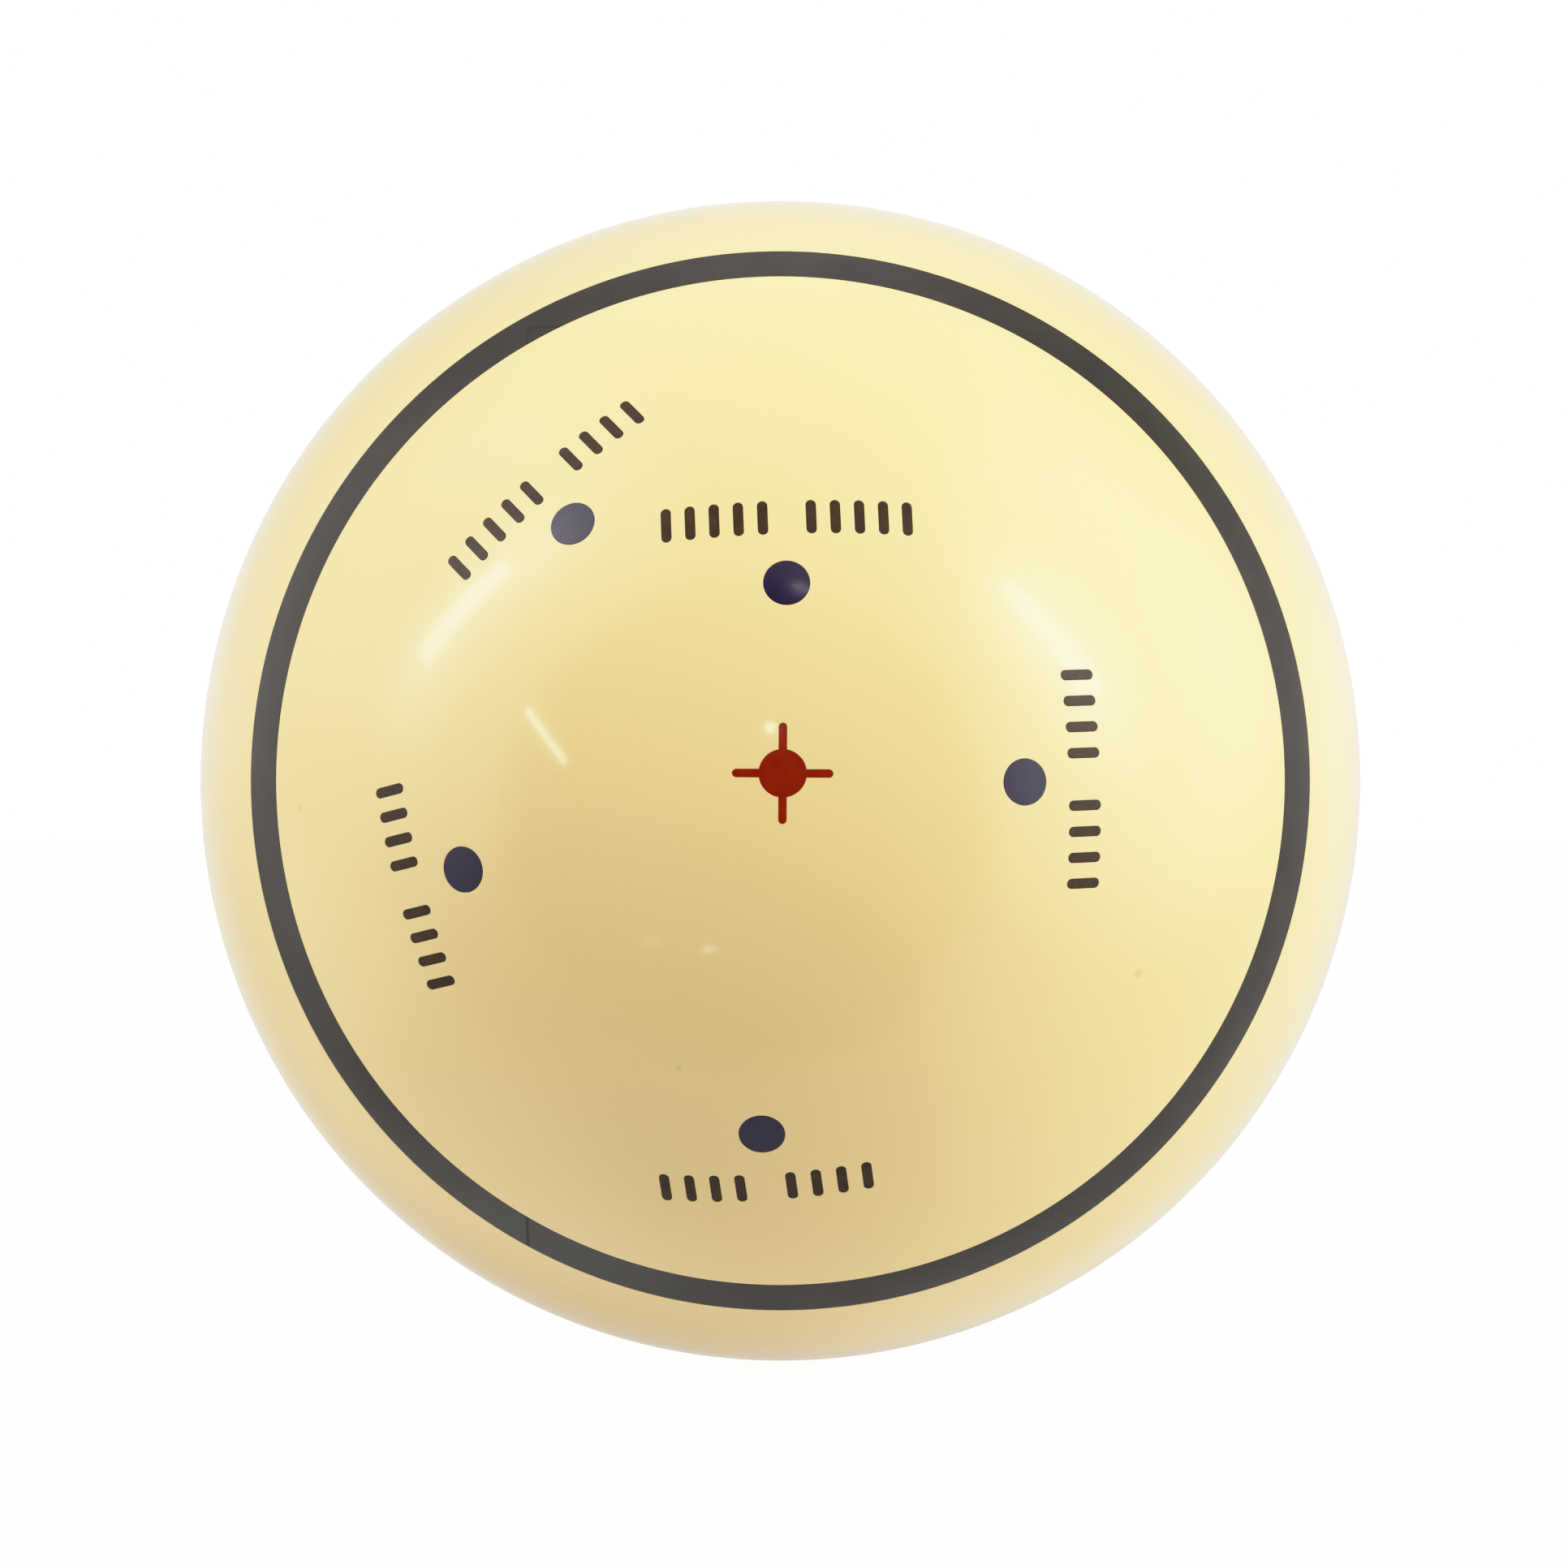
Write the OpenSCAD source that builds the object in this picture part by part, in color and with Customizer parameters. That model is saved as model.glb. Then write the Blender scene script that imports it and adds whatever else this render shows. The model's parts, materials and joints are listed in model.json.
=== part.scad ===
// Training cue ball: a solid ball of cast ivory resin with coloured resin fills
// that are ground flush with it. The marked face looks along -Y, and up is +Z.
//
// Every fill has a place on the face, given by two angles:
//   polar  away from the middle of the face
//   clock  round the face, counter-clockwise from the right as a player sees it
// A row of ticks also has a spin: the direction in which it runs, which is 0 to
// the right and 90 up.

/* [Ball] */
// Diameter of the ball
ball_d = 57.15; // [55:0.05:62]

/* [Aiming ring] */
// Polar angle of the middle of the ring
ring_polar = 58.95; // [56:0.05:62]
// Width of the ring over the surface
ring_w = 2.65; // [1.5:0.05:3]
// Depth of the ring's groove
ring_deep = 1.2; // [0.5:0.1:2.5]

/* [Centre target] */
// Polar angle of the target's middle
target_polar = 0.7; // [0:0.05:1.5]
// Clock angle of the target's middle
target_clock = 73; // [0:1:180]
// Diameter of the red disc
target_d = 2.2; // [1.2:0.05:3]
// Distance from the middle of the disc to the tip of an arm
target_reach = 2.3; // [2:0.05:3.2]
// Width of an arm
target_arm_w = 0.4; // [0.2:0.01:0.7]
// Depth of the target's pocket
target_deep = 1; // [0.5:0.1:2]

/* [Strike dots] */
// Diameter of a dot
dot_d = 2.15; // [1:0.05:2.6]
// Depth of a dot's pocket
dot_deep = 1.2; // [0.5:0.1:2.5]

/* [Ticks] */
// Width of a tick
tick_w = 0.48; // [0.25:0.01:0.65]
// Height of a tick, along the surface
tick_h = 1.64; // [1:0.02:1.8]
// Depth of a tick's slot
tick_deep = 0.5; // [0.3:0.05:1]

/* [Power break mark] */
// Polar angle of the dot
power_dot_polar = 18.4; // [17:0.1:19]
// Clock angle of the dot
power_dot_clock = 88.2; // [82:0.1:98]
// Polar angle of the middle of the row
power_row_polar = 24.95; // [24.8:0.05:27]
// Clock angle of the middle of the row
power_row_clock = 88.6; // [82:0.1:98]
// Spin of the row
power_row_spin = 2; // [-6:0.5:6]
// Length of the row
power_row_len = 11.6; // [11:0.05:13]
// Ticks in each group
power_groups = [5, 5]; // [3:1:5]

/* [Stop shot mark] */
// Polar angle of the dot
stop_dot_polar = 23; // [21:0.1:23.2]
// Clock angle of the dot
stop_dot_clock = -0.3; // [-6:0.1:6]
// Polar angle of the middle of the row
stop_row_polar = 29.2; // [29:0.05:32]
// Clock angle of the middle of the row
stop_row_clock = 0.3; // [-6:0.1:6]
// Spin of the row
stop_row_spin = 92; // [84:0.5:96]
// Length of the row
stop_row_len = 10.1; // [9.5:0.05:11.5]
// Ticks in each group
stop_groups = [4, 4]; // [3:1:5]

/* [Draw shot mark] */
// Polar angle of the dot
draw_dot_polar = 34.8; // [32:0.1:35]
// Clock angle of the dot
draw_dot_clock = -93; // [-98:0.1:-86]
// Polar angle of the middle of the row
draw_row_polar = 41.3; // [41:0.05:43]
// Clock angle of the middle of the row
draw_row_clock = -92; // [-98:0.1:-86]
// Spin of the row
draw_row_spin = 5.5; // [-6:0.5:9]
// Length of the row
draw_row_len = 9.95; // [9.5:0.05:11.5]
// Ticks in each group
draw_groups = [4, 4]; // [3:1:5]

/* [Jump shot mark] */
// Polar angle of the dot
jump_dot_polar = 32; // [30:0.1:32.5]
// Clock angle of the dot
jump_dot_clock = -164.35; // [-170:0.05:-158]
// Polar angle of the middle of the row
jump_row_polar = 38.6; // [38.4:0.05:41]
// Clock angle of the middle of the row
jump_row_clock = -163.8; // [-170:0.1:-158]
// Spin of the row
jump_row_spin = -75.5; // [-82:0.5:-68]
// Length of the row
jump_row_len = 9.7; // [9.5:0.05:11.5]
// Ticks in each group
jump_groups = [4, 4]; // [3:1:5]

/* [Masse shot mark] */
// Polar angle of the dot
masse_dot_polar = 32.1; // [30:0.1:32.2]
// Clock angle of the dot
masse_dot_clock = 128.95; // [123:0.05:135]
// Polar angle of the middle of the row
masse_row_polar = 38; // [37.9:0.05:41]
// Clock angle of the middle of the row
masse_row_clock = 128.9; // [123:0.1:135]
// Spin of the row
masse_row_spin = 43; // [33:0.5:46]
// Length of the row
masse_row_len = 11.3; // [10.5:0.05:12.5]
// Ticks in each group
masse_groups = [5, 4]; // [3:1:5]

/* [Hidden] */
$fn = 96;
// Steps round the ball itself, fine enough for the shallow fills to keep their volume
ball_steps = 480;
ball_r = ball_d / 2;
// How far a blank stands out of the ball before it is ground flush
proud = 1;
arm_turns = [0, 90, 180, 270];
ivory = [0.91, 0.83, 0.60];
charcoal = [0.20, 0.20, 0.19];
navy = [0.13, 0.12, 0.22];
red = [0.62, 0.08, 0.04];
brown = [0.24, 0.17, 0.10];

// Angle on the ball, in degrees, of an arc of the given length over its surface
function arc_angle(len) = len / ball_r * 180 / PI;

// Place of each tick along its row: two groups with one place left empty between them
function tick_places(groups, row_len) =
    let (last = groups[0] + groups[1], pitch = (row_len - tick_w) / last)
    [for (i = [0 : last]) if (i != groups[0]) (i - last / 2) * pitch];

// A point of the ring's profile: distance from the ball's centre, and polar angle
function polar_point(r, polar) = [r * sin(polar), r * cos(polar)];

// Puts its children at a place on the face, with +Z out of the ball and +X along the spin
module on_face(polar, clock, spin = 0) {
    rotate([90, 0, 0])
        rotate([0, 0, clock])
            rotate([0, polar, 0])
                rotate([0, 0, spin - clock])
                    children();
}

module whole_ball() {
    sphere(r = ball_r, $fn = ball_steps);
}

// Raises a flat outline into a blank that reaches from the pocket's floor to outside the ball
module raise_blank(deep) {
    translate([0, 0, ball_r - deep])
        linear_extrude(height = deep + proud)
            children();
}

// Flat outline with round ends, upright and centred
module round_ended_bar(w, h) {
    square([w, h - w], center = true);
    for (side = [-1, 1])
        translate([0, side * (h - w) / 2])
            circle(d = w);
}

// What is left of a blank when it is ground flush with the ball
module ground_flush() {
    intersection() {
        whole_ball();
        children();
    }
}

module ring_blank() {
    half = arc_angle(ring_w) / 2;
    floor_r = ball_r - ring_deep;
    top_r = ball_r + proud;
    rotate([90, 0, 0])
        rotate_extrude()
            polygon([polar_point(floor_r, ring_polar - half),
                     polar_point(floor_r, ring_polar + half),
                     polar_point(top_r, ring_polar + half),
                     polar_point(top_r, ring_polar - half)]);
}

module target_blank() {
    on_face(target_polar, target_clock)
        raise_blank(target_deep) {
            circle(d = target_d);
            for (turn = arm_turns)
                rotate(turn)
                    translate([0, target_reach / 2])
                        round_ended_bar(target_arm_w, target_reach);
        }
}

module dot_blank(polar, clock) {
    on_face(polar, clock)
        raise_blank(dot_deep)
            circle(d = dot_d);
}

module row_blanks(polar, clock, spin, row_len, groups) {
    on_face(polar, clock, spin)
        for (place = tick_places(groups, row_len))
            rotate([0, arc_angle(place), 0])
                raise_blank(tick_deep)
                    round_ended_bar(tick_w, tick_h);
}

module power_dot_blank() {
    dot_blank(power_dot_polar, power_dot_clock);
}

module stop_dot_blank() {
    dot_blank(stop_dot_polar, stop_dot_clock);
}

module draw_dot_blank() {
    dot_blank(draw_dot_polar, draw_dot_clock);
}

module jump_dot_blank() {
    dot_blank(jump_dot_polar, jump_dot_clock);
}

module masse_dot_blank() {
    dot_blank(masse_dot_polar, masse_dot_clock);
}

module power_row_blanks() {
    row_blanks(power_row_polar, power_row_clock, power_row_spin, power_row_len, power_groups);
}

module stop_row_blanks() {
    row_blanks(stop_row_polar, stop_row_clock, stop_row_spin, stop_row_len, stop_groups);
}

module draw_row_blanks() {
    row_blanks(draw_row_polar, draw_row_clock, draw_row_spin, draw_row_len, draw_groups);
}

module jump_row_blanks() {
    row_blanks(jump_row_polar, jump_row_clock, jump_row_spin, jump_row_len, jump_groups);
}

module masse_row_blanks() {
    row_blanks(masse_row_polar, masse_row_clock, masse_row_spin, masse_row_len, masse_groups);
}

// The ivory ball, with a pocket for every fill
module ball_body() {
    color(ivory)
        difference() {
            whole_ball();
            ring_blank();
            target_blank();
            power_dot_blank();
            stop_dot_blank();
            draw_dot_blank();
            jump_dot_blank();
            masse_dot_blank();
            power_row_blanks();
            stop_row_blanks();
            draw_row_blanks();
            jump_row_blanks();
            masse_row_blanks();
        }
}

module ring_inlay() {
    color(charcoal) ground_flush() ring_blank();
}

module centre_target() {
    color(red) ground_flush() target_blank();
}

module power_break_dot() {
    color(navy) ground_flush() power_dot_blank();
}

module stop_shot_dot() {
    color(navy) ground_flush() stop_dot_blank();
}

module draw_shot_dot() {
    color(navy) ground_flush() draw_dot_blank();
}

module jump_shot_dot() {
    color(navy) ground_flush() jump_dot_blank();
}

module masse_shot_dot() {
    color(navy) ground_flush() masse_dot_blank();
}

module power_break_ticks() {
    color(brown) ground_flush() power_row_blanks();
}

module stop_shot_ticks() {
    color(brown) ground_flush() stop_row_blanks();
}

module draw_shot_ticks() {
    color(brown) ground_flush() draw_row_blanks();
}

module jump_shot_ticks() {
    color(brown) ground_flush() jump_row_blanks();
}

module masse_shot_ticks() {
    color(brown) ground_flush() masse_row_blanks();
}

ball_body();
ring_inlay();
centre_target();
power_break_dot();
stop_shot_dot();
draw_shot_dot();
jump_shot_dot();
masse_shot_dot();
power_break_ticks();
stop_shot_ticks();
draw_shot_ticks();
jump_shot_ticks();
masse_shot_ticks();
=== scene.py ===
"""Looks of the training cue ball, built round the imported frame.

Each resin piece is a closed mesh. The skin of the ball is triangulated on flat charts of the sphere, and
every corner of it carries the exact normal of the ball. The sizes and places of the fills are measured on
the frame's own nodes.
"""

import json
import math
from collections import namedtuple

import bmesh
import bpy
import numpy as np
from mathutils import Matrix, Vector
from mathutils.geometry import delaunay_2d_cdt
from mathutils.kdtree import KDTree


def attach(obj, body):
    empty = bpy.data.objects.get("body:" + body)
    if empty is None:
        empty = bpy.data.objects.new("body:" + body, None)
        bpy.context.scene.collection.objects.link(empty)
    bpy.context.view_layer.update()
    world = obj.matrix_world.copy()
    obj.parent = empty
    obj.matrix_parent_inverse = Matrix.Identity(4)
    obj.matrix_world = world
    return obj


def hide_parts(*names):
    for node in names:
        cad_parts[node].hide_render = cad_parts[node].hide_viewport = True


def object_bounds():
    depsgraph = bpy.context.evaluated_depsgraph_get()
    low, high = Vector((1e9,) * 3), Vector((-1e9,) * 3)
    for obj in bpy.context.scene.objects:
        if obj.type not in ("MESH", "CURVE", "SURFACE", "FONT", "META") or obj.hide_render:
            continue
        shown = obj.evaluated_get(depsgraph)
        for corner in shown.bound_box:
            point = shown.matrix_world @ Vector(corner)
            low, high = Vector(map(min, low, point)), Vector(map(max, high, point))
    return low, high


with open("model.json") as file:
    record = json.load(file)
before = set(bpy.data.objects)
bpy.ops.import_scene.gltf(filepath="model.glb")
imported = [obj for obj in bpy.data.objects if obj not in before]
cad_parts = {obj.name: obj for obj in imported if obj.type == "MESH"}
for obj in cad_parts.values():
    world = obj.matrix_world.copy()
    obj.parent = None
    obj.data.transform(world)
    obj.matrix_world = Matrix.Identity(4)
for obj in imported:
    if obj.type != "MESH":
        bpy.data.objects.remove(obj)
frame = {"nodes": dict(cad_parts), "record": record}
cad_low, cad_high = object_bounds()

# ---------------------------------------------------------------- sizes, in metres

MM = 0.001
BALL_R = (cad_high.z - cad_low.z) / 2
# The marked face looks along -Y. A place on it is a polar angle from that axis and a clock angle round it.
POINT_SPACING = 0.6 * MM  # between the points of the ball's skin
POINT_CLEARANCE = 0.3 * MM  # between those points and the finer ones round a fill
EDGE_ROUND = 0.02 * MM  # radius to which polishing has worn the rim of a pocket and of its fill
FILL_GAP = 0.003 * MM  # bond line between a fill and the wall of its pocket
FILL_SINK = 0.004 * MM  # how far the softer fills have worn below the ivory
EDGE_STEPS = 3  # facets round a worn rim
RING_STEPS = 288
DOT_STEPS = 96
RIM_GROWS = (EDGE_ROUND, -FILL_GAP - EDGE_ROUND)  # from a mark's outline to its pocket's rim and its fill's
GRADING = ((0.09 * MM, 2), (0.24 * MM, 4))  # rings of finer points: how far out, and one of every so many
GOLDEN_ANGLE = math.pi * (3 - math.sqrt(5))
MERGE = 1e-7  # two points of a frame node this close are one
CHART_MERGE = 1e-9  # and two points of a flat chart
INSIDE_ONLY = 1  # asks for the triangles that lie inside outlines


# ---------------------------------------------------------------- measuring the frame

SIDE_SHARE = 0.49  # points further out than this share of a tick's width are on its straight sides
DISC_MARGIN = 1.01  # points nearer than this times the radius of the target's disc are on the disc


def split_solids(node):
    """The separate solids of a frame node, each an array of its points, in the order of its mesh."""
    work = bmesh.new()
    work.from_mesh(frame["nodes"][node].data)
    bmesh.ops.remove_doubles(work, verts=work.verts, dist=MERGE)
    seen = set()
    solids = []
    for start in work.verts:
        if start.index in seen:
            continue
        seen.add(start.index)
        island = [start]
        for vert in island:
            for edge in vert.link_edges:
                other = edge.other_vert(vert)
                if other.index not in seen:
                    seen.add(other.index)
                    island.append(other)
        solids.append(np.array([vert.co for vert in island], float))
    work.free()
    return solids


def unit(vectors):
    return vectors / np.linalg.norm(vectors, axis=-1, keepdims=True)


Floor = namedtuple("Floor", "middle out height points")


def find_floor(solid):
    """The flat floor of a fill.

    It gives the floor's middle, the direction out of the ball, the floor's height along it, and its points.
    """
    reach = np.linalg.norm(solid, axis=1)
    points = solid[reach < (reach.min() + reach.max()) / 2]
    middle = points.mean(axis=0)
    out = np.linalg.svd(points - middle)[2][2]
    out = out * np.sign(out @ middle)
    height = float(middle @ out)
    return Floor(out * height, out, height, points)


def flat_axes(out, right):
    """Two directions across another, the first as near as possible to the one asked for."""
    right = unit(right - (right @ out) * out)
    return right, np.cross(out, right)


# ---------------------------------------------------------------- outlines of the fills

def arc(radius, start, end, steps):
    """Points on an arc about the origin with their outward directions, without the last one."""
    turns = np.radians(start + (end - start) * np.arange(steps) / steps)
    outward = np.stack([np.cos(turns), np.sin(turns)], axis=1)
    return radius * outward, outward


def straight(start, end, outward, steps):
    """Points on a straight side with their outward directions, without the last one."""
    share = (np.arange(steps) / steps)[:, None]
    points = np.array(start) * (1 - share) + np.array(end) * share
    return points, np.tile(np.array(outward, float), (steps, 1))


def turned(piece, degrees):
    """A stretch of outline, turned about the origin."""
    turn = math.radians(degrees)
    matrix = np.array([[math.cos(turn), math.sin(turn)], [-math.sin(turn), math.cos(turn)]])
    return piece[0] @ matrix, piece[1] @ matrix


def join(pieces):
    return np.concatenate([p[0] for p in pieces]), np.concatenate([p[1] for p in pieces])


def dot_outline(radius):
    """Outline of a round dot, as a function of how far it is grown."""
    return lambda grow: arc(radius + grow, 0, 360, DOT_STEPS)


def bar_outline(width, height, end_steps=14, side_steps=12):
    """Outline of an upright bar with round ends, as a function of how far it is grown."""
    straight_half = (height - width) / 2

    def outline(grow):
        radius = width / 2 + grow
        top, top_out = arc(radius, 0, 180, end_steps)
        bottom, bottom_out = arc(radius, 180, 360, end_steps)
        return join([
            (top + (0, straight_half), top_out),
            straight((-radius, straight_half), (-radius, -straight_half), (-1, 0), side_steps),
            (bottom - (0, straight_half), bottom_out),
            straight((radius, -straight_half), (radius, straight_half), (1, 0), side_steps),
        ])

    return outline


def target_outline(disc_radius, arm_width, arm_reach, arms=4, disc_steps=18, side_steps=12, end_steps=12):
    """Outline of a disc with round-ended arms, as a function of how far it is grown."""
    quarter = 360 / arms

    def outline(grow):
        radius = disc_radius + grow
        half = arm_width / 2 + grow
        root = math.sqrt(radius**2 - half**2)
        tip = arm_reach - arm_width / 2
        root_angle = math.degrees(math.asin(half / radius))
        end, end_out = arc(half, -90, 90, end_steps)
        arm = [
            straight((root, -half), (tip, -half), (0, -1), side_steps),
            (end + (tip, 0), end_out),
            straight((tip, half), (root, half), (0, 1), side_steps),
            arc(radius, root_angle, quarter - root_angle, disc_steps),
        ]
        return join([turned(piece, k * quarter) for k in range(arms) for piece in arm])

    return outline


Mark = namedtuple("Mark", "right up out floor outline")


def measure_dot(node):
    floor = find_floor(split_solids(node)[0])
    middle = floor.points.mean(axis=0)
    radius = np.linalg.norm(floor.points - middle, axis=1).mean()
    out = unit(middle)
    first_right, _ = flat_axes(floor.out, np.array([1.0, 0.0, 0.0]))
    right, up = flat_axes(out, first_right)
    return Mark(right, up, out, floor.height, dot_outline(radius))


def measure_bars(node):
    """The ticks of a row. A tick is a bar with round ends, and its longer direction is its up."""
    marks = []
    for solid in split_solids(node):
        floor = find_floor(solid)
        middle = floor.points.mean(axis=0)
        long_way = np.linalg.svd(floor.points - middle)[2][0]
        across, along = flat_axes(floor.out, np.cross(long_way, floor.out))
        x = (floor.points - middle) @ across
        y = (floor.points - middle) @ along
        width = x.max() - x.min()
        sides = np.abs(x) > SIDE_SHARE * width
        height = y[sides].max() - y[sides].min() + width
        out = unit(middle)
        right, up = flat_axes(out, across)
        marks.append(Mark(right, up, out, floor.height, bar_outline(width, height)))
    return marks


def measure_target(node):
    """The target. Its outline is nearest to its middle on the disc, and furthest from it on an arm."""
    floor = find_floor(split_solids(node)[0])
    middle = floor.points.mean(axis=0)
    apart = floor.points - middle
    distance = np.linalg.norm(apart, axis=1)
    out = unit(middle)
    arm_way = apart[np.argmax(distance * (apart[:, 0] > np.abs(apart[:, 2])))]
    right, up = flat_axes(out, arm_way)
    disc_radius = distance.min()
    on_disc = distance < disc_radius * DISC_MARGIN
    offset = np.minimum(np.abs(apart @ right), np.abs(apart @ up))
    arm_width = 2 * offset[on_disc].min()
    outline = target_outline(disc_radius, arm_width, distance.max())
    return Mark(right, up, out, floor.height, outline)


Ring = namedtuple("Ring", "inner outer deep")


def measure_ring(node):
    points = split_solids(node)[0]
    reach = np.linalg.norm(points, axis=1)
    polar = np.arccos(-points[:, 1] / reach)
    return Ring(polar.min(), polar.max(), BALL_R - reach.min())


# ---------------------------------------------------------------- meshes

class Skin:
    """One closed mesh in the making: its points, its faces, and the normal of every corner of a face."""

    def __init__(self):
        self.points = np.zeros((0, 3))
        self.batches = []
        self.circles = {}

    def add_points(self, points):
        """Adds points and gives their numbers."""
        first = len(self.points)
        self.points = np.concatenate([self.points, points])
        return np.arange(first, len(self.points))

    def add_faces(self, corners, normals):
        """Adds faces with the same number of corners. build() turns each to look along its normals."""
        self.batches.append((np.array(corners), np.array(normals, float)))

    def add_strip(self, loop, next_loop, normals, next_normals):
        """Joins two closed loops with quads."""
        corners = [loop, np.roll(loop, -1), np.roll(next_loop, -1), next_loop]
        corner_normals = [normals, np.roll(normals, -1, 0), np.roll(next_normals, -1, 0), next_normals]
        self.add_faces(np.stack(corners, axis=1), np.stack(corner_normals, axis=1))

    def add_cover(self, loop, normal):
        """Closes a loop with one flat face."""
        self.add_faces(loop[None], np.tile(normal, (len(loop), 1))[None])

    def circle(self, polar, down):
        """The numbers of a circle of latitude's points, which neighbouring strips share."""
        key = (round(polar, 9), round(down, 9))
        if key not in self.circles:
            self.circles[key] = self.add_points((BALL_R - down) * circle_directions(polar))
        return self.circles[key]

    def build(self, name):
        faces, normals = [], []
        for corners, corner_normals in self.batches:
            places = self.points[corners]
            looks = np.cross(places, np.roll(places, -1, axis=1)).sum(axis=1)
            wrong = np.einsum("ij,ij->i", looks, corner_normals.mean(axis=1)) < 0
            corners[wrong] = corners[wrong, ::-1]
            corner_normals[wrong] = corner_normals[wrong, ::-1]
            faces.extend(corners.tolist())
            normals.append(corner_normals.reshape(-1, 3))
        mesh = bpy.data.meshes.new(name)
        mesh.from_pydata(self.points.tolist(), [], faces)
        mesh.polygons.foreach_set("use_smooth", [True] * len(mesh.polygons))
        mesh.normals_split_custom_set(unit(np.concatenate(normals)).tolist())
        mesh.update()
        piece = bpy.data.objects.new(name, mesh)
        bpy.context.scene.collection.objects.link(piece)
        return piece


def circle_directions(polar):
    """Directions from the ball's centre to a circle of latitude about the face's axis."""
    clock = np.arange(RING_STEPS) * 2 * math.pi / RING_STEPS
    side = math.sin(polar)
    ahead = np.full(RING_STEPS, -math.cos(polar))
    return np.stack([side * np.cos(clock), ahead, side * np.sin(clock)], axis=1)


def circle_normals(polar, tilt):
    """Normals along a circle of latitude, tilted from straight out towards a greater polar angle."""
    onward = circle_directions(polar + math.pi / 2)
    return circle_directions(polar) * math.cos(tilt) + onward * math.sin(tilt)


def mark_directions(mark, grow):
    """Directions from the ball's centre to a mark's outline."""
    flat, _ = mark.outline(grow)
    height = np.sqrt(BALL_R**2 - (flat**2).sum(axis=1))
    return unit(flat @ np.array([mark.right, mark.up]) + height[:, None] * mark.out)


def mark_loop(mark, grow, down):
    """Places of a mark's outline at a depth under the ball's surface, and its outward directions."""
    flat, outward = mark.outline(grow)
    across = np.array([mark.right, mark.up])
    height = np.sqrt((BALL_R - down) ** 2 - (flat**2).sum(axis=1))
    return flat @ across + height[:, None] * mark.out, outward @ across


def floor_loop(mark, grow, lift):
    """Places of a mark's outline on its flat floor, lifted by a little."""
    flat, _ = mark.outline(grow)
    return flat @ np.array([mark.right, mark.up]) + (mark.floor + lift) * mark.out


def edge_turns():
    """Angles of the facets round a worn rim, from level to upright."""
    return np.linspace(0, math.pi / 2, EDGE_STEPS + 1)


def add_pocket(skin, mark, rim):
    """The worn rim, the wall and the floor of a mark's pocket. rim numbers its outermost loop."""
    loop, normals = rim, mark_directions(mark, EDGE_ROUND)
    for turn in edge_turns()[1:]:
        grow = EDGE_ROUND * (1 - math.sin(turn))
        places, outward = mark_loop(mark, grow, EDGE_ROUND * (1 - math.cos(turn)))
        next_loop = skin.add_points(places)
        next_normals = unit(places) * math.cos(turn) - outward * math.sin(turn)
        skin.add_strip(loop, next_loop, normals, next_normals)
        loop, normals = next_loop, next_normals
    bottom = skin.add_points(floor_loop(mark, 0, 0))
    skin.add_strip(loop, bottom, normals, normals)
    skin.add_cover(bottom, mark.out)


def add_fill_sides(skin, mark, rim):
    """The worn rim, the wall and the underside of a fill. rim numbers the loop round its top."""
    loop, normals = rim, mark_directions(mark, -FILL_GAP - EDGE_ROUND)
    for turn in edge_turns()[1:]:
        grow = -FILL_GAP - EDGE_ROUND * (1 - math.sin(turn))
        places, outward = mark_loop(mark, grow, FILL_SINK + EDGE_ROUND * (1 - math.cos(turn)))
        next_loop = skin.add_points(places)
        next_normals = unit(places) * math.cos(turn) + outward * math.sin(turn)
        skin.add_strip(loop, next_loop, normals, next_normals)
        loop, normals = next_loop, next_normals
    bottom = skin.add_points(floor_loop(mark, -FILL_GAP, FILL_GAP))
    skin.add_strip(loop, bottom, normals, normals)
    skin.add_cover(bottom, -mark.out)


def add_ring_strips(skin, stations):
    """Joins circles of latitude. A station is (polar, down, tilt of the normal)."""
    for (polar, down, tilt), (next_polar, next_down, next_tilt) in zip(stations, stations[1:]):
        skin.add_strip(
            skin.circle(polar, down),
            skin.circle(next_polar, next_down),
            circle_normals(polar, tilt),
            circle_normals(next_polar, next_tilt),
        )


def ring_rim(polar, side, down, into_pocket):
    """Stations round a worn rim at a wall of the ring's groove, from level to upright.

    side is the way along the surface, 1 or -1, in which the solid that has this rim lies. into_pocket is
    the sense in which the wall's normal leaves that solid, which is the other way.
    """
    turn_angle = EDGE_ROUND / BALL_R
    return [
        (
            polar + side * turn_angle * (1 - math.sin(turn)),
            down + EDGE_ROUND * (1 - math.cos(turn)),
            into_pocket * turn,
        )
        for turn in edge_turns()
    ]


def add_groove(skin, ring):
    """The groove that the ring lies in, from the skin inside it to the skin outside it."""
    inner = ring_rim(ring.inner, -1, 0, 1)
    outer = ring_rim(ring.outer, 1, 0, -1)
    upright = math.pi / 2
    add_ring_strips(skin, inner)
    add_ring_strips(skin, [inner[-1], (ring.inner, ring.deep, upright)])
    add_ring_strips(skin, [(ring.inner, ring.deep, 0), (ring.outer, ring.deep, 0)])
    add_ring_strips(skin, [(ring.outer, ring.deep, -upright), outer[-1]])
    add_ring_strips(skin, outer)


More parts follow.
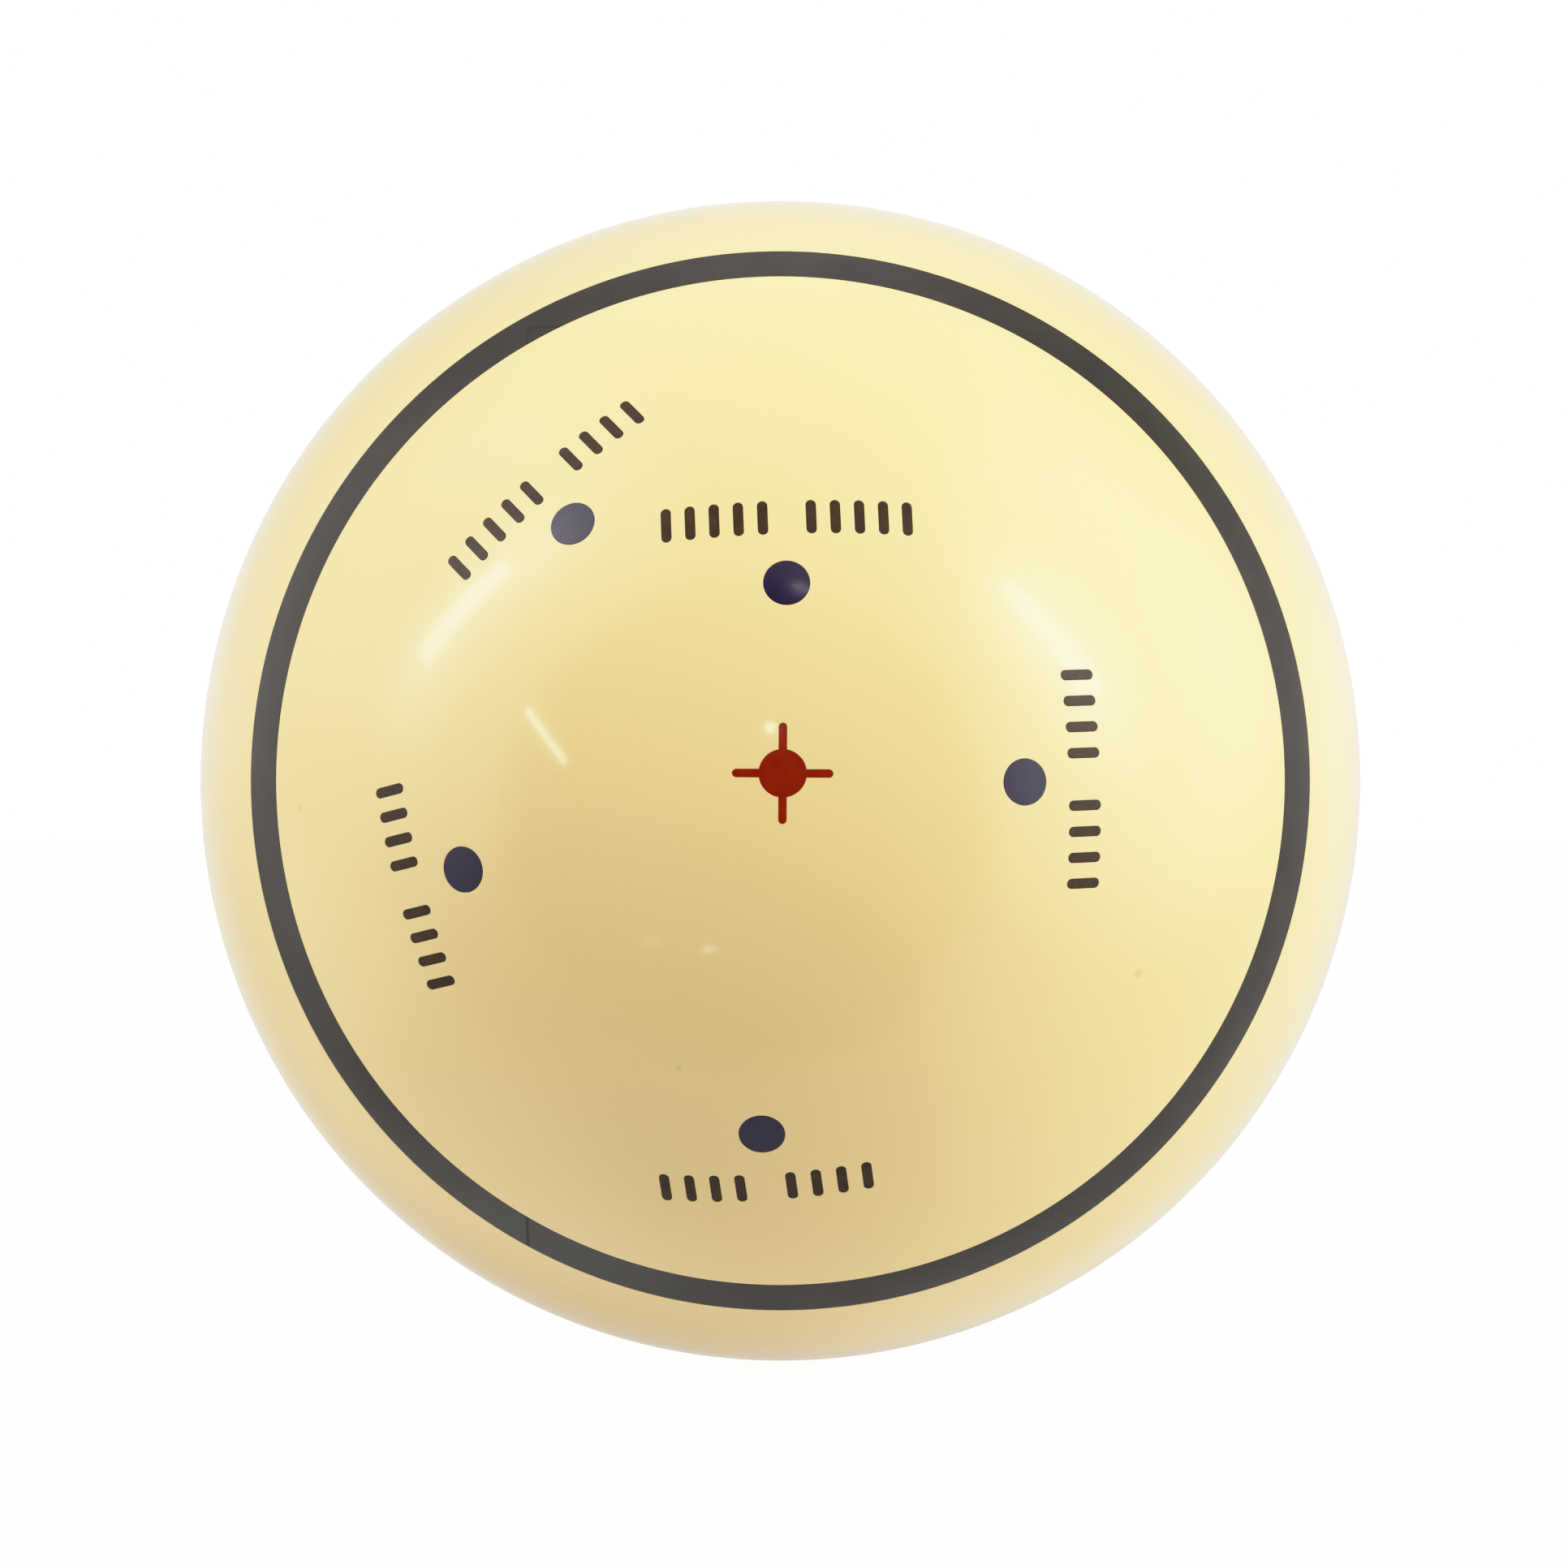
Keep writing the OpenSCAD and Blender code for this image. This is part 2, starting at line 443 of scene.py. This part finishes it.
def add_ring_fill(skin, ring, top_steps=8):
    """The ring itself: a band that follows the ball, with worn edges."""
    gap = FILL_GAP / BALL_R
    inner = ring_rim(ring.inner + gap, 1, FILL_SINK, -1)
    outer = ring_rim(ring.outer - gap, -1, FILL_SINK, 1)
    upright = math.pi / 2
    deep = ring.deep - FILL_GAP
    top = [(polar, FILL_SINK, 0) for polar in np.linspace(inner[0][0], outer[0][0], top_steps + 1)]
    add_ring_strips(skin, top)
    add_ring_strips(skin, inner)
    add_ring_strips(skin, outer)
    add_ring_strips(skin, [inner[-1], (inner[-1][0], deep, -upright)])
    add_ring_strips(skin, [outer[-1], (outer[-1][0], deep, upright)])
    add_ring_strips(skin, [(inner[-1][0], deep, math.pi), (outer[-1][0], deep, math.pi)])


def lattice():
    """Directions spread evenly over the whole ball, along one spiral from the face to the back."""
    area_of_point = math.sqrt(3) / 2 * (POINT_SPACING / BALL_R) ** 2
    count = int(4 * math.pi / area_of_point)
    step = np.arange(count) + 0.5
    ahead = 1 - 2 * step / count
    side = np.sqrt(1 - ahead**2)
    clock = step * GOLDEN_ANGLE
    return np.stack([side * np.cos(clock), -ahead, side * np.sin(clock)], axis=1)


def clear_of(directions, taken):
    """The directions whose points keep the clearance from the points already taken."""
    tree = KDTree(len(taken))
    for number, direction in enumerate(taken):
        tree.insert(direction, number)
    tree.balance()
    clearance = POINT_CLEARANCE / BALL_R
    return directions[[tree.find(direction)[2] > clearance for direction in directions]]


def chart(directions, front):
    """Flat chart of the sphere. It keeps angles, so a good triangle on it is a good one on the ball."""
    ahead = -directions[:, 1] if front else directions[:, 1]
    return [Vector(place) for place in directions[:, [0, 2]] / (1 + ahead)[:, None]]


def triangulate(directions, outlines, front):
    """Triangles between the given directions, and for each one the outlines that it lies in."""
    loops = [outline.tolist() for outline in outlines]
    found = delaunay_2d_cdt(chart(directions, front), [], loops, INSIDE_ONLY, CHART_MERGE)
    source = [origins[0] for origins in found[3]]
    triangles = np.array([[source[corner] for corner in face] for face in found[2]])
    return triangles, [frozenset(inside) for inside in found[5]]


def add_region(skin, directions, triangles, radius, known):
    """Adds triangles of the sphere to a skin. known numbers the points that the skin already has."""
    used = np.unique(triangles)
    fresh = [number for number in used if number not in known]
    numbers = dict(known)
    numbers.update(zip(fresh, skin.add_points(radius * directions[fresh])))
    corners = np.vectorize(numbers.get)(triangles)
    skin.add_faces(corners, directions[triangles])


def plan_face(ring, marks, spread):
    """Directions of the face's cap, and its outlines: its border, then each pocket's rim and its fill's."""
    blocks = [circle_directions(ring.inner - EDGE_ROUND / BALL_R)]
    outlines = [np.arange(RING_STEPS)]
    for _, mark in marks:
        for grow in RIM_GROWS:
            first = sum(len(block) for block in blocks)
            blocks.append(mark_directions(mark, grow))
            outlines.append(np.arange(first, first + len(blocks[-1])))
    for _, mark in marks:
        for grow, every in GRADING:
            blocks.append(mark_directions(mark, grow)[::every])
    polar = np.arccos(-spread[:, 1])
    inside_ring = polar < ring.inner - POINT_CLEARANCE / BALL_R
    blocks.append(clear_of(spread[inside_ring], np.concatenate(blocks)))
    return np.concatenate(blocks), outlines


def add_back(ball, ring, spread):
    """The rest of the ball, outside the ring."""
    border_polar = ring.outer + EDGE_ROUND / BALL_R
    border = circle_directions(border_polar)
    polar = np.arccos(-spread[:, 1])
    outside_ring = polar > ring.outer + POINT_CLEARANCE / BALL_R
    directions = np.concatenate([border, clear_of(spread[outside_ring], border)])
    triangles, _ = triangulate(directions, [np.arange(RING_STEPS)], False)
    add_region(ball, directions, triangles, BALL_R, dict(enumerate(ball.circle(border_polar, 0))))


def build_ball(ring, marks_of):
    """A piece for the ball and for each fill but the ring. marks_of gives the marks of each node."""
    marks = [(node, mark) for node in marks_of for mark in marks_of[node]]
    spread = lattice()
    directions, outlines = plan_face(ring, marks, spread)
    triangles, inside = triangulate(directions, outlines, True)

    ball = Skin()
    known = dict(zip(outlines[0], ball.circle(ring.inner - EDGE_ROUND / BALL_R, 0)))
    for number, (_, mark) in enumerate(marks):
        outline = outlines[2 * number + 1]
        rim = ball.add_points(BALL_R * directions[outline])
        known.update(zip(outline, rim))
        add_pocket(ball, mark, rim)
    on_ball = np.array([places == {0} for places in inside])
    add_region(ball, directions, triangles[on_ball], BALL_R, known)
    add_groove(ball, ring)
    add_back(ball, ring, spread)
    pieces = {"ball_body": ball.build("ball_body_resin")}

    radius = BALL_R - FILL_SINK
    for node in marks_of:
        skin = Skin()
        for number, (owner, mark) in enumerate(marks):
            if owner != node:
                continue
            place = 2 * number + 2
            top = triangles[[place in places for places in inside]]
            rim = skin.add_points(radius * directions[outlines[place]])
            add_region(skin, directions, top, radius, dict(zip(outlines[place], rim)))
            add_fill_sides(skin, mark, rim)
        pieces[node] = skin.build(node + "_resin")
    return pieces


def build_ring(ring):
    skin = Skin()
    add_ring_fill(skin, ring)
    return skin.build("ring_inlay_resin")


# ---------------------------------------------------------------- node helpers

# Sockets of a mix node that mixes colours: its share and two colours, and its result.
MIX_INPUTS = (0, 6, 7)
MIX_OUTPUT = 2


def add_node(tree, kind, settings=None, inputs=None):
    """A new node with its settings, and its inputs set to values or linked to other nodes' outputs."""
    made = tree.nodes.new(kind)
    for name, value in (settings or {}).items():
        setattr(made, name, value)
    for name, value in (inputs or {}).items():
        if isinstance(value, bpy.types.NodeSocket):
            tree.links.new(value, made.inputs[name])
        else:
            made.inputs[name].default_value = value
    return made


def calculate(tree, operation, *values):
    """The output of a maths node."""
    return add_node(tree, "ShaderNodeMath", {"operation": operation}, dict(enumerate(values))).outputs[0]


def remap(tree, value, low, high, to_low, to_high, smooth=False):
    """A value moved from one range to another, and kept within it."""
    settings = {"interpolation_type": "SMOOTHSTEP" if smooth else "LINEAR"}
    inputs = {"Value": value, "From Min": low, "From Max": high, "To Min": to_low, "To Max": to_high}
    return add_node(tree, "ShaderNodeMapRange", settings, inputs).outputs["Result"]


def noise(tree, place, size, detail=2.0, seed=0.0):
    """Noise with features of about the given size in metres, from 0 to 1."""
    inputs = {"Vector": place, "W": seed, "Scale": 1 / size, "Detail": detail}
    return add_node(tree, "ShaderNodeTexNoise", {"noise_dimensions": "4D"}, inputs).outputs["Fac"]


def mix_colours(tree, share, first, second):
    """A colour between two, by a share from 0 to 1."""
    inputs = dict(zip(MIX_INPUTS, (share, first, second)))
    return add_node(tree, "ShaderNodeMix", {"data_type": "RGBA"}, inputs).outputs[MIX_OUTPUT]


def rgb(red, green, blue):
    return (red, green, blue, 1.0)


# ---------------------------------------------------------------- materials

RESIN_IOR = 1.52
NOISE_WIDE = (0.3, 0.7)  # most of a noise's values lie between these
NOISE_NARROW = (0.35, 0.65)  # taken instead where a noise is to show more contrast

IVORY_DARK = rgb(0.860, 0.650, 0.275)
IVORY_LIGHT = rgb(0.885, 0.675, 0.299)
CLOUD_SIZE = 14 * MM
CLOUD_SHARE = 0.8  # of the ivory's two tones, and the grain has the rest
GRAIN_SIZE = 0.45 * MM
SCUFF_SIZE = 6 * MM
SCUFFED = (0.35, 0.75)  # from untouched to scuffed, in the noise of the scuffs
IVORY_ROUGHNESS = (0.07, 0.13)
SHEEN = 0.3
SHEEN_ROUGHNESS = 0.5

# Brown inclusions just under the surface, each a polar angle and a clock angle in degrees, and a radius.
# The last four are round the back.
INCLUSIONS = (
    (41.2, -28.3, 0.30 * MM),
    (29.3, -109.5, 0.16 * MM),
    (52.1, -176.8, 0.20 * MM),
    (96.0, 37.0, 0.22 * MM),
    (112.0, -141.0, 0.28 * MM),
    (133.0, 102.0, 0.18 * MM),
    (158.0, -35.0, 0.24 * MM),
)
INCLUSION_COLOUR = rgb(0.50, 0.35, 0.12)
INCLUSION_SHARE = 0.35  # how much of that colour shows
INCLUSION_CORE = 0.3  # share of an inclusion's radius within which it doesn't fade

Fill = namedtuple("Fill", "dark light grain roughness seed ior spliced", defaults=(RESIN_IOR, False))
FILLS = {
    "ring_fill": Fill(
        dark=rgb(0.011, 0.006, 0.001), light=rgb(0.020, 0.014, 0.005),
        grain=2.5 * MM, roughness=0.12, seed=3.0, ior=1.45, spliced=True),
    "dot_fill": Fill(
        dark=rgb(0.009, 0.003, 0.024), light=rgb(0.016, 0.006, 0.040),
        grain=0.8 * MM, roughness=0.10, seed=6.0, ior=1.49),
    "target_fill": Fill(
        dark=rgb(0.240, 0.008, 0.0), light=rgb(0.280, 0.013, 0.0003),
        grain=0.8 * MM, roughness=0.10, seed=9.0),
    "label_fill": Fill(
        dark=rgb(0.030, 0.013, 0.002), light=rgb(0.048, 0.023, 0.005),
        grain=0.5 * MM, roughness=0.30, seed=12.0, ior=1.33),
}
HAZE_SIZE = 1.5 * MM
HAZE_ROUGHNESS = 0.05  # that haze adds to a fill's roughness at most
HAZE_SEED = 5.0  # added to the fill's own

# The ring was poured all the way round, and its end lies over its beginning. The corner of that end, as
# shares of the ball's radius to the right of the middle and above it, and the length that shows.
SPLICE_X = -0.4225
SPLICE_Z = 0.7535
SPLICE_LONG = 0.055
SEAM = 0.14 * MM  # width of the seam round that end
SEAM_SOFT = 0.7 * SEAM
SPLICE_FADE = 8 * SEAM  # length over which the end fades into the ring
SPLICE_COLOUR = rgb(0.010, 0.004, 0.0)
SPLICE_SHARE = 0.5
SEAM_COLOUR = rgb(0.0, 0.0, 0.0)
SEAM_ROUGHNESS = rgb(0.6, 0.6, 0.6)
SEAM_SHARE = 0.8


def new_material(name):
    """A material of polished resin, its nodes, its shader and the place on the object."""
    material = bpy.data.materials.new(name)
    material.use_nodes = True
    tree = material.node_tree
    shader = tree.nodes["Principled BSDF"]
    shader.inputs["IOR"].default_value = RESIN_IOR
    place = add_node(tree, "ShaderNodeTexCoord").outputs["Object"]
    return material, tree, shader, place


def direction_of(polar, clock):
    """The direction from the ball's centre to a place on it, given in degrees."""
    polar, clock = math.radians(polar), math.radians(clock)
    side = math.sin(polar)
    return Vector((side * math.cos(clock), -math.cos(polar), side * math.sin(clock)))


def near(tree, place, polar, clock, radius):
    """1 at a place on the ball, down to 0 at a radius from it."""
    middle = BALL_R * direction_of(polar, clock)
    apart = add_node(tree, "ShaderNodeVectorMath", {"operation": "DISTANCE"}, {0: place, 1: middle})
    return remap(tree, apart.outputs["Value"], INCLUSION_CORE * radius, radius, 1.0, 0.0, smooth=True)


def add_inclusions(tree, place, colour):
    included = 0.0
    for polar, clock, radius in INCLUSIONS:
        included = calculate(tree, "MAXIMUM", included, near(tree, place, polar, clock, radius))
    share = calculate(tree, "MULTIPLY", included, INCLUSION_SHARE)
    return mix_colours(tree, share, colour, INCLUSION_COLOUR)


def ivory_material():
    """Cast ivory resin: faint clouding, fine grain, a few inclusions, and a polish scuffed in places."""
    material, tree, shader, place = new_material("ivory_resin")
    cloud = noise(tree, place, CLOUD_SIZE, detail=3.0, seed=1.3)
    grain = noise(tree, place, GRAIN_SIZE, detail=2.0, seed=4.1)
    cloud_tone = remap(tree, cloud, *NOISE_WIDE, 0.0, CLOUD_SHARE)
    grain_tone = remap(tree, grain, *NOISE_WIDE, 0.0, 1 - CLOUD_SHARE)
    tone = calculate(tree, "ADD", cloud_tone, grain_tone)
    colour = add_inclusions(tree, place, mix_colours(tree, tone, IVORY_DARK, IVORY_LIGHT))
    tree.links.new(colour, shader.inputs["Base Color"])
    scuff = noise(tree, place, SCUFF_SIZE, detail=5.0, seed=8.2)
    tree.links.new(remap(tree, scuff, *SCUFFED, *IVORY_ROUGHNESS), shader.inputs["Roughness"])
    shader.inputs["Sheen Weight"].default_value = SHEEN
    shader.inputs["Sheen Roughness"].default_value = SHEEN_ROUGHNESS
    return material


def ring_end(tree, place, inset):
    """1 on the end of the ring that shows, moved inwards by an inset.

    It has no lower bound, so the stretch of ring straight below that end is marked too.
    """
    left = SPLICE_X * BALL_R + inset
    top = SPLICE_Z * BALL_R - inset
    right = (SPLICE_X + SPLICE_LONG) * BALL_R
    parts = add_node(tree, "ShaderNodeSeparateXYZ", None, {"Vector": place}).outputs
    past_left = remap(tree, parts["X"], left, left + SEAM_SOFT, 0.0, 1.0)
    below_top = remap(tree, parts["Z"], top - SEAM_SOFT, top, 1.0, 0.0)
    inside = calculate(tree, "MULTIPLY", past_left, below_top)
    fade = remap(tree, parts["X"], right, right + SPLICE_FADE, 1.0, 0.0, smooth=True)
    return calculate(tree, "MULTIPLY", inside, fade)


def add_splice(tree, place, shader):
    """Draws the ring's end on its material: a dull dark seam, and the end itself a little browner."""
    end = ring_end(tree, place, 0)
    seam = calculate(tree, "SUBTRACT", end, ring_end(tree, place, SEAM))
    changes = (
        ("Base Color", end, SPLICE_SHARE, SPLICE_COLOUR),
        ("Base Color", seam, SEAM_SHARE, SEAM_COLOUR),
        ("Roughness", seam, SEAM_SHARE, SEAM_ROUGHNESS),
    )
    for socket, mask, most, value in changes:
        before = shader.inputs[socket].links[0].from_socket
        share = calculate(tree, "MULTIPLY", mask, most)
        tree.links.new(mix_colours(tree, share, before, value), shader.inputs[socket])


def fill_material(name, fill):
    """A coloured resin fill: two tones stirred into each other, under a slightly hazy polish."""
    material, tree, shader, place = new_material(name)
    stir = noise(tree, place, fill.grain, detail=4.0, seed=fill.seed)
    colour = mix_colours(tree, remap(tree, stir, *NOISE_NARROW, 0.0, 1.0), fill.dark, fill.light)
    tree.links.new(colour, shader.inputs["Base Color"])
    haze = noise(tree, place, HAZE_SIZE, detail=3.0, seed=fill.seed + HAZE_SEED)
    roughness = remap(tree, haze, *NOISE_WIDE, fill.roughness, fill.roughness + HAZE_ROUGHNESS)
    tree.links.new(roughness, shader.inputs["Roughness"])
    shader.inputs["IOR"].default_value = fill.ior
    if fill.spliced:
        add_splice(tree, place, shader)
    return material


# ---------------------------------------------------------------- the ball

def make_pieces():
    ring = measure_ring("ring_inlay")
    nodes = sorted(frame["nodes"])
    marks_of = {"centre_target": [measure_target("centre_target")]}
    marks_of.update({node: [measure_dot(node)] for node in nodes if node.endswith("_dot")})
    marks_of.update({node: measure_bars(node) for node in nodes if node.endswith("_ticks")})
    pieces = build_ball(ring, marks_of)
    pieces["ring_inlay"] = build_ring(ring)
    return pieces


def slot_of(node):
    """The record's material slot of a frame node."""
    return next(part["material_slot"] for part in frame["record"]["subparts"] if part["node"] == node)


def finish_pieces(pieces):
    """Gives every piece its material and its place in the frame."""
    materials = {"ivory_resin": ivory_material()}
    materials.update({name: fill_material(name, fill) for name, fill in FILLS.items()})
    for node, piece in pieces.items():
        piece.data.materials.append(materials[slot_of(node)])
        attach(piece, "root")
        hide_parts(node)


# ---------------------------------------------------------------- studio

CAMERA_DISTANCE = 12 * BALL_R
BALL_SHARE = 0.7402  # of the picture's width, taken by the ball
SENSOR = 36.0
SHIFT_X = 0.0023  # of the picture's width, by which its middle is off the ball's
SHIFT_Y = -0.0021
CLIP_START = 0.01


def make_camera():
    data = bpy.data.cameras.new("camera")
    data.sensor_width = SENSOR
    outline = BALL_R / math.sqrt(CAMERA_DISTANCE**2 - BALL_R**2)
    data.lens = SENSOR / 2 * BALL_SHARE / outline
    data.shift_x = SHIFT_X
    data.shift_y = SHIFT_Y
    data.clip_start = CLIP_START
    camera = bpy.data.objects.new("camera", data)
    camera.location = (0, -CAMERA_DISTANCE, 0)
    camera.rotation_euler = (math.pi / 2, 0, 0)
    bpy.context.scene.collection.objects.link(camera)
    bpy.context.scene.camera = camera


FLOOR_HALF = 3.0
FLOOR_CORNERS = ((-1, -1), (1, -1), (1, 1), (-1, 1))
FLOOR_COLOUR = rgb(0.8, 0.8, 0.8)
FLOOR_ROUGHNESS = 0.9
FLOOR_GLOW = 1.2


def make_floor():
    """The table: plain white, and glowing a little, so that the ball's shadow on it stays faint."""
    mesh = bpy.data.meshes.new("floor")
    corners = [(FLOOR_HALF * x, FLOOR_HALF * y, -BALL_R) for x, y in FLOOR_CORNERS]
    mesh.from_pydata(corners, [], [(0, 1, 2, 3)])
    floor = bpy.data.objects.new("floor", mesh)
    bpy.context.scene.collection.objects.link(floor)
    material = bpy.data.materials.new("floor")
    material.use_nodes = True
    shader = material.node_tree.nodes["Principled BSDF"]
    shader.inputs["Base Color"].default_value = FLOOR_COLOUR
    shader.inputs["Roughness"].default_value = FLOOR_ROUGHNESS
    shader.inputs["Emission Color"].default_value = rgb(1, 1, 1)
    shader.inputs["Emission Strength"].default_value = FLOOR_GLOW
    mesh.materials.append(material)
    floor.visible_glossy = False
    floor.visible_diffuse = False
    floor.visible_shadow = False


# The studio is a light tent, seen here from the ball. A bearing is an angle from the camera's side,
# positive to the right, and a height is an angle above the ball's middle. All angles are in degrees.
Glow = namedtuple("Glow", "bearing height radius soft bright")
Window = namedtuple("Window", "bearing height roll half_width half_height soft bright")
WALLS = 0.12
GLOWS = (
    Glow(0, 78, 30, 34, 1.00),  # ceiling
    Glow(82, 0, 45, 32, 0.80),  # right wall
    Glow(-84, 17, 37, 26, 1.10),  # left wall
    Glow(0, -86, 34, 30, 0.64),  # table
    Glow(180, 14, 34, 30, 0.38),  # back wall
    Glow(73, 16, 28, 22, 1.70),  # round the right window
    Glow(-72, 28, 26, 20, 0.70),  # round the left window
    Glow(-115, -40, 18, 24, 0.50),  # table on the left
    Glow(150, -30, 12, 20, 0.30),  # table on the right
)
WINDOWS = (
    Window(-70, 28, 59, 20, 6, 10, 2.7),  # left window
    Window(61, 20, -60, 16, 6, 12, 3.8),  # right window
    Window(180, 4, 0, 52, 8, 18, 0.60),  # band along the back wall
)
# What takes light away: a share of it, within a round part of the tent.
SHADES = (
    Glow(-13, 50, 8, 7, 0.26),  # fold in the ceiling
    Glow(-7, -9, 47, 6, 0.85),  # opening for the camera
)
# Bare lamps, each a rectangle that faces the ball. More layers, of ever smaller ones, soften its edges.
Lamp = namedtuple("Lamp", "bearing height roll wide high bright layers")
LAMPS = (
    Lamp(-70.5, 27, 59, 20, 4, 13.0, 4),  # in the left window
    Lamp(57.5, 24, -59, 24, 4.5, 12.0, 4),  # in the right window
    Lamp(-45.2, 7.7, -46, 12.6, 1.0, 12.0, 1),  # tube beside the camera
    Lamp(-1.9, 9.8, 0, 1.5, 1.5, 14.0, 1),  # above the camera
    Lamp(-15, -31.5, 0, 2.6, 0.9, 5.0, 1),  # below the camera
    Lamp(-27, -29.4, 0, 2.0, 0.9, 4.0, 1),
    Lamp(4.5, 36.5, -20, 2.8, 0.6, 14.0, 1),
)
LAMP_DISTANCE = 0.6
# Two wide lights that are kept out of the reflections: one behind the camera, and what the table sends back
# up.
SoftLight = namedtuple("SoftLight", "bearing height distance size power colour")
SOFT_LIGHTS = (
    SoftLight(5, 13, 2 * CAMERA_DISTANCE, 0.5, 0.86, (1, 1, 1)),
    SoftLight(-170, -58, LAMP_DISTANCE, 0.5, 1.6, (1, 0.88, 0.5)),
)
BACKDROP = 4.0  # brightness that the camera sees behind the ball


def aim(bearing, height, roll=0):
    """A direction of the tent, and the two directions across it, turned by a roll."""
    bearing, height, roll = np.radians([bearing, height, roll])
    level = math.cos(height)
    out = np.array([math.sin(bearing) * level, -math.cos(bearing) * level, math.sin(height)])
    right = np.array([math.cos(bearing), math.sin(bearing), 0])
    up = np.cross(out, right)
    up = up if up[2] >= 0 else -up
    turned_right = right * math.cos(roll) + up * math.sin(roll)
    turned_up = up * math.cos(roll) - right * math.sin(roll)
    return out, turned_right, turned_up


def along(tree, direction, axis):
    inputs = {0: direction, 1: tuple(axis)}
    return add_node(tree, "ShaderNodeVectorMath", {"operation": "DOT_PRODUCT"}, inputs).outputs["Value"]


def glow_light(tree, direction, glow):
    """Light of a round glow with a soft edge."""
    outside = math.cos(math.radians(glow.radius + glow.soft))
    within = math.cos(math.radians(max(glow.radius - glow.soft, 0)))
    ahead = along(tree, direction, aim(glow.bearing, glow.height)[0])
    return remap(tree, ahead, outside, within, 0.0, glow.bright, smooth=True)


def window_light(tree, direction, window):
    """Light of a rectangle with soft edges."""
    out, right, up = aim(window.bearing, window.height, window.roll)
    ahead = along(tree, direction, out)
    light = window.bright
    for axis, half in ((right, window.half_width), (up, window.half_height)):
        aside = calculate(tree, "ABSOLUTE", along(tree, direction, axis))
        angle = calculate(tree, "ARCTAN2", aside, ahead)
        edges = np.radians([half - window.soft, half + window.soft]).tolist()
        light = calculate(tree, "MULTIPLY", light, remap(tree, angle, *edges, 1.0, 0.0, smooth=True))
    return light


def add_area_light(name, distance, directions, wide, high, power):
    """A rectangle of light that faces the ball. directions are the way out to it and the way across it."""
    out, right = directions
    facing = Matrix([right, np.cross(out, right), out]).transposed()
    data = bpy.data.lights.new(name, "AREA")
    data.shape = "RECTANGLE"
    data.size = wide
    data.size_y = high
    data.energy = power
    light = bpy.data.objects.new(name, data)
    light.matrix_world = Matrix.Translation(distance * Vector(out)) @ facing.to_4x4()
    light.visible_camera = False
    bpy.context.scene.collection.objects.link(light)
    return light


def lamp_size(angle):
    """Size of a lamp that is seen from the ball at an angle."""
    return 2 * LAMP_DISTANCE * math.tan(math.radians(angle / 2))


def make_lamps():
    for number, lamp in enumerate(LAMPS):
        out, right, _ = aim(lamp.bearing, lamp.height, lamp.roll)
        wide, high = lamp_size(lamp.wide), lamp_size(lamp.high)
        for layer in range(lamp.layers):
            share = 1 - layer / lamp.layers
            power = math.pi * lamp.bright / lamp.layers * wide * high * share**2
            name = f"lamp_{number}_{layer}"
            add_area_light(name, LAMP_DISTANCE, (out, right), wide * share, high * share, power)
    for number, soft in enumerate(SOFT_LIGHTS):
        out, right, _ = aim(soft.bearing, soft.height)
        size = soft.size
        light = add_area_light(f"soft_{number}", soft.distance, (out, right), size, size, soft.power)
        light.data.color = soft.colour
        light.visible_glossy = False


def make_world():
    """The tent, as the ball sees it, and a plain white backdrop for the camera."""
    world = bpy.data.worlds.new("studio")
    bpy.context.scene.world = world
    world.use_nodes = True
    tree = world.node_tree
    direction = add_node(tree, "ShaderNodeTexCoord").outputs["Generated"]
    light = WALLS
    for glow in GLOWS:
        light = calculate(tree, "ADD", light, glow_light(tree, direction, glow))
    for window in WINDOWS:
        light = calculate(tree, "ADD", light, window_light(tree, direction, window))
    for shade in SHADES:
        left = calculate(tree, "SUBTRACT", 1.0, glow_light(tree, direction, shade))
        light = calculate(tree, "MULTIPLY", light, left)
    seen = add_node(tree, "ShaderNodeLightPath").outputs["Is Camera Ray"]
    unseen = calculate(tree, "SUBTRACT", 1.0, seen)
    light = calculate(tree, "MULTIPLY", light, unseen)
    backdrop = calculate(tree, "MULTIPLY", seen, BACKDROP)
    background = tree.nodes["Background"]
    background.inputs["Color"].default_value = rgb(1, 1, 1)
    tree.links.new(calculate(tree, "ADD", light, backdrop), background.inputs["Strength"])
    world.cycles.sampling_method = "NONE"  # the tent has no small bright lights that would need it


FILM_KNEE = 0.67  # light above this is rolled off towards white
FILM_WHITE = 3.0  # light that is recorded as white
FILM_POINTS = 16
ALL_COLOURS = 3  # number of the curve that holds for all three colours


def film(light):
    """What a camera records of an amount of light."""
    if light < FILM_KNEE:
        return light
    rest = 1 - FILM_KNEE
    return FILM_KNEE + rest * (1 - math.exp((FILM_KNEE - light) / rest))


def set_film():
    view = bpy.context.scene.view_settings
    view.view_transform = "Standard"
    view.use_curve_mapping = True
    mapping = view.curve_mapping
    mapping.white_level = [FILM_WHITE] * 3
    points = mapping.curves[ALL_COLOURS].points
    points[-1].location = (1, 1)
    for step in range(1, FILM_POINTS):
        share = step / FILM_POINTS
        points.new(share, film(share * FILM_WHITE))
    mapping.update()


finish_pieces(make_pieces())
make_camera()
make_floor()
make_world()
make_lamps()
set_film()
